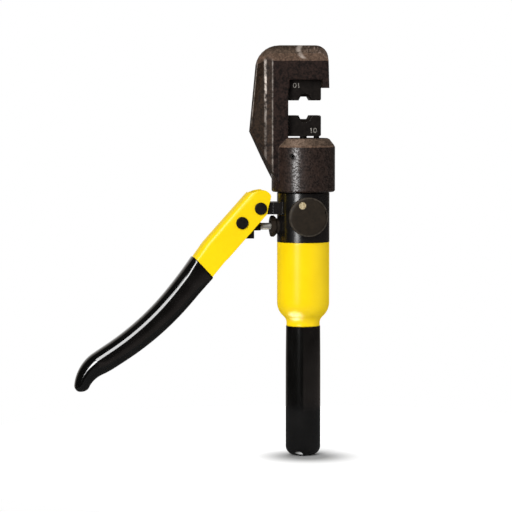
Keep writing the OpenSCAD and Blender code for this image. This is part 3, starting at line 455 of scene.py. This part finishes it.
# Dies, dowel, lock screw, lever pins and crosshead. Hardened steel with a black oxide skin, its corners
# rubbed a little. The dies push into their sockets, and clips hold the pins from behind.
OXIDE_DARK, OXIDE_LIGHT, OXIDE_RUBBED = (0.0055, 0.0042, 0.0035), (0.01, 0.0075, 0.0062), (0.16, 0.15, 0.14)
oxide, f, shader = finish("die_oxide", Specular_IOR_Level=0.12)
cloud = grain(f, 500.0)
bevelled = broken_corners(f, 0.3, 6)
true_normal = f.add("ShaderNodeNewGeometry", out="Normal")
edge = 1.0 - f.add("ShaderNodeVectorMath", out="Value", sockets={0: bevelled, 1: true_normal},
                   operation="DOT_PRODUCT")
wear_and_painted_highlight = fade(f, edge * (0.2 + 1.2 * cloud), 0.02, 0.2)
skin = between(f, fade(f, cloud, 0.3, 0.7), OXIDE_DARK, OXIDE_LIGHT)
between(f, wear_and_painted_highlight, skin, OXIDE_RUBBED).feeds(shader, "Base Color")
(0.6 * wear_and_painted_highlight).feeds(shader, "Metallic")
(0.42 + 0.15 * cloud).feeds(shader, "Roughness")
bumps(f, cloud, 0.08, 0.3, Normal=bevelled).feeds(shader, "Normal")
pins = [eased(n, 0.35) for n in ("pivot_pin", "drive_pin")]
coat_piece(oxide, *pins, *(frame["nodes"][n] for n in (
    "upper_die", "lower_die", "head_lock_screw", "die_dowel", "crosshead")))

# Size figures on the dies. Stamped into each die's front and filled with pale paint; the upper die is
# the same as the lower one turned over, so its figures stand on their heads.
FILL_DARK, FILL_LIGHT = (0.07, 0.062, 0.055), (0.34, 0.32, 0.285)
FIGURE_FRONT_Y, FIGURE_T = -7.02, 0.1
stamp_paint, f, shader = finish("stamp_paint", Specular_IOR_Level=0.3)
rubbed = grain(f, 2200.0, 3.0)
between(f, fade(f, rubbed, 0.35, 0.6), FILL_DARK, FILL_LIGHT).feeds(shader, "Base Color")
(0.55 + 0.2 * rubbed).feeds(shader, "Roughness")


def figures(name, x, z, turn, body):
    """The figures 1 and 0, cut as thin plates that stand a hair proud of the die."""
    mesh = bmesh.new()
    one = [(-2.35, -1.9), (-1.75, -1.9), (-1.75, 1.9), (-2.15, 1.9), (-2.95, 1.25), (-2.75, 0.9), (-2.35, 1.2)]
    steps = 24
    angles = [2 * math.pi * k / steps for k in range(steps)]
    outer, inner = ([(0.9 + wide * math.cos(t), tall * math.sin(t)) for t in angles]
                    for wide, tall in ((1.35, 1.95), (0.8, 1.4)))

    def corner(p):
        return mesh.verts.new(((x + turn * p[0]) * MM, FIGURE_FRONT_Y * MM, (z + turn * p[1]) * MM))

    mesh.faces.new([corner(p) for p in one])
    rows = [[corner(p) for p in ring] for ring in (outer, inner)]
    for k in range(steps):
        mesh.faces.new((rows[0][k - 1], rows[0][k], rows[1][k], rows[1][k - 1]))
    raised = bmesh.ops.extrude_face_region(mesh, geom=mesh.faces[:])
    back = [v for v in raised["geom"] if isinstance(v, bmesh.types.BMVert)]
    bmesh.ops.translate(mesh, verts=back, vec=(0.0, FIGURE_T * MM, 0.0))
    coat_piece(stamp_paint, made(name, mesh, body))


figures("lower_size", 7.0, 250.5, 1.0, "ram")
figures("upper_size", -7.0, 284.9, -1.0, "frame")

# Ground steel: ram, plunger, springs, balls and the small steel parts of the valves, turned from bar or
# wound from wire, ground where they run and left bright. The plunger's locking collar alone is blackened.
STEEL_DARK, STEEL_LIGHT = (0.6, 0.58, 0.53), (0.8, 0.78, 0.72)


def of_slots(*slots):
    """The CAD nodes whose record gives them one of these materials."""
    return [frame["nodes"][s["node"]] for s in frame["record"]["subparts"] if s["material_slot"] in slots]


steel, f, shader = finish("ground_steel", Metallic=0.7)
lines = grain(f, 1.0, 3.0, 0.5, (60.0, 900.0, 900.0))
between(f, fade(f, lines, 0.3, 0.7), STEEL_DARK, STEEL_LIGHT).feeds(shader, "Base Color")
(0.22 + 0.15 * lines).feeds(shader, "Roughness")
coat_piece(steel, *of_slots("bright_steel"))
coat_piece(oxide, frame["nodes"]["rod_collar"])

# Return spring. Wound from round steel wire, it stands between the ring in the ram's foot and the head of
# the bolt in the cylinder's floor, and is pressed together against that head as the ram rises.
wire = frame["nodes"]["return_spring"]
coils = bmesh.new()
coils.from_mesh(wire.data)
spring = made("wound_spring", coils, wire["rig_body"], "return_spring")
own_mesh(spring)
coat_piece(steel, spring)

# Brass screw in the knob's face. A small turned screw, slotted for a driver and sunk a little, bright on
# top and darker round the edge of its head.
SCREW_AXIS = (-0.0049, 0.0, 0.1937)
BRASS_DARK, BRASS_LIGHT, BRASS_EDGE_DARK = (0.5, 0.37, 0.17), (0.92, 0.8, 0.54), (0.07, 0.05, 0.025)
brass, f, shader = finish("brass", Metallic=0.55)
tarnish = grain(f, 900.0)
brass_tone = between(f, fade(f, tarnish, 0.35, 0.65), BRASS_DARK, BRASS_LIGHT)
darker_edge = fade(f, off_axis(f, SCREW_AXIS), 2.3 * MM, 3.0 * MM)
between(f, darker_edge, brass_tone, BRASS_EDGE_DARK).feeds(shader, "Base Color")
(0.35 + 0.2 * tarnish).feeds(shader, "Roughness")
coat_piece(brass, frame["nodes"]["knob_screw"])

# Seals, oil bag, tube plug and backing ring. Moulded or turned from rubber and plastic and pressed into
# their grooves and seats, all of them shut in.
RUBBER_DARK, RUBBER_LIGHT = (0.018, 0.018, 0.018), (0.04, 0.04, 0.04)
rubber, f, shader = finish("seal_rubber")
bloom = grain(f, 300.0)
between(f, fade(f, bloom, 0.3, 0.7), RUBBER_DARK, RUBBER_LIGHT).feeds(shader, "Base Color")
(0.55 + 0.2 * bloom).feeds(shader, "Roughness")
coat_piece(rubber, *of_slots("seal_rubber", "black_plastic", "white_plastic"))

# Floor. A round sheet of pale paper that the tool stands on: white to the camera but for a soft shadow painted
# round the foot, and dark to the gloss, so that the black grip doesn't mirror it.
PAPER_R, PAPER_STEPS = 0.3, 96
PAPER_LIT, PAPER_SEEN, PAPER_IN_GLOSS = (0.75, 0.75, 0.75), (0.36, 0.36, 0.36), (0.08, 0.08, 0.08)
BLACK, WHITE = (0.0, 0.0, 0.0), (1.0, 1.0, 1.0)
floor_mesh = bpy.data.meshes.new("paper")
angles = [2 * math.pi * k / PAPER_STEPS for k in range(PAPER_STEPS)]
edge_points = [(PAPER_R * math.cos(a), PAPER_R * math.sin(a), 0.0) for a in angles]
floor_mesh.from_pydata(edge_points, [], [range(PAPER_STEPS)])
floor = bpy.data.objects.new("paper", floor_mesh)
scene.collection.objects.link(floor)
paper, f, shader = finish("paper", Roughness=0.9, Specular_IOR_Level=0.0, Emission_Strength=1.0)


def near(f, spot, low, high):
    """One at a spot on the paper, fading to nought between two distances from it."""
    on_paper = f.add("ShaderNodeTexCoord", out="Object")
    off = f.add("ShaderNodeVectorMath", out="Value", sockets={0: on_paper, 1: spot}, operation="DISTANCE")
    return below(f, off, low, high)


def ray(f, kind):
    return f.add("ShaderNodeLightPath", out="Is " + kind + " Ray")


seen = f.sum("MAXIMUM", ray(f, "Camera"), ray(f, "Transmission"))
sheet = between(f, seen, PAPER_LIT, PAPER_SEEN)
between(f, ray(f, "Glossy"), sheet, PAPER_IN_GLOSS).feeds(shader, "Base Color")
# Painted shadow: the paper's white glow is taken down in a wide and a close ring round the foot.
painted_wide_shadow = 0.6 * near(f, (0.004, -0.014, 0.0), 0.0, 0.078)
painted_close_shadow = 0.46 * near(f, (0.001, -0.01, 0.0), 0.006, 0.042)
between(f, seen * (0.96 - painted_wide_shadow - painted_close_shadow), BLACK, WHITE).feeds(shader, "Emission Color")
coat_piece(paper, floor)

# Studio. The backdrop is white to the camera, and the open light on the tool comes mostly from the right
# and from behind. Gloss sees a dim room, with a grey wall that is white straight behind the tool.
ROOM_LEFT, ROOM_RIGHT_LOW, ROOM_RIGHT = (0.009, 0.009, 0.008), (0.16, 0.135, 0.125), (0.025, 0.02, 0.018)
GREY_WALL = (0.22, 0.2, 0.18)
world = bpy.data.worlds.new("studio")
scene.world = world
world.use_nodes = True
f = Field(world.node_tree)
towards = f.add("ShaderNodeTexCoord", out="Generated")
right, behind, up = (f.add("ShaderNodeSeparateXYZ", out=axis, sockets={0: towards}) for axis in "XYZ")
right_half = between(f, fade(f, up, -0.12, -0.08), ROOM_RIGHT_LOW, ROOM_RIGHT)
room = between(f, fade(f, right, -0.22, -0.08), ROOM_LEFT, right_half)
room = between(f, fade(f, behind, 0.6, 1.0), room, GREY_WALL)
room = between(f, fade(f, behind, 0.985, 1.0), room, WHITE)
open_light = between(f, 0.72 + 0.64 * right + 0.7 * behind, BLACK, WHITE)
seen = f.sum("MAXIMUM", ray(f, "Camera"), ray(f, "Transmission"))
lit = between(f, ray(f, "Glossy"), open_light, room)
between(f, seen, lit, WHITE).feeds(world.node_tree.nodes["Background"], "Color")

# Lamps. The key is a soft box up at the left, and a low strip box beside it draws one upright line down
# the pump. Two small cards that only gloss sees give the pale spots on the barrel's shoulder and foot.
CARD_SPREAD = 64.0


def soft_box(name, where, towards, width, height, watts, turn=0.0):
    lamp = bpy.data.lights.new(name, "AREA")
    lamp.shape, lamp.size, lamp.size_y, lamp.energy = "RECTANGLE", width, height, watts
    box = bpy.data.objects.new(name, lamp)
    box.location = where
    aim = (Vector(towards) - Vector(where)).to_track_quat("-Z", "Y")
    box.rotation_euler = (aim @ Quaternion((0.0, 0.0, 1.0), math.radians(turn))).to_euler()
    box.visible_camera = False
    scene.collection.objects.link(box)
    return box


soft_box("key_box", (-0.62, -1.12, 0.95), (-0.03, 0.0, 0.17), 0.9, 0.66, 15.4, -42.0)
soft_box("strip_box", (-0.9, -1.195, 0.39), (0.0, 0.0, 0.2), 0.42, 0.56, 9.8)
shoulder_card = soft_box(
    "shoulder_card", (-0.0185, -0.0115, 0.0785), (-0.005, -0.0115, 0.107), 0.044, 0.034, 0.0105)
foot_card = soft_box("foot_card", (-0.0084, -0.0085, 0.0003), (-0.0084, -0.0085, 0.1), 0.014, 0.01, 0.00024)
for card in (shoulder_card, foot_card):
    card.data.shape, card.data.spread = "ELLIPSE", math.radians(CARD_SPREAD)
    card.visible_diffuse = False
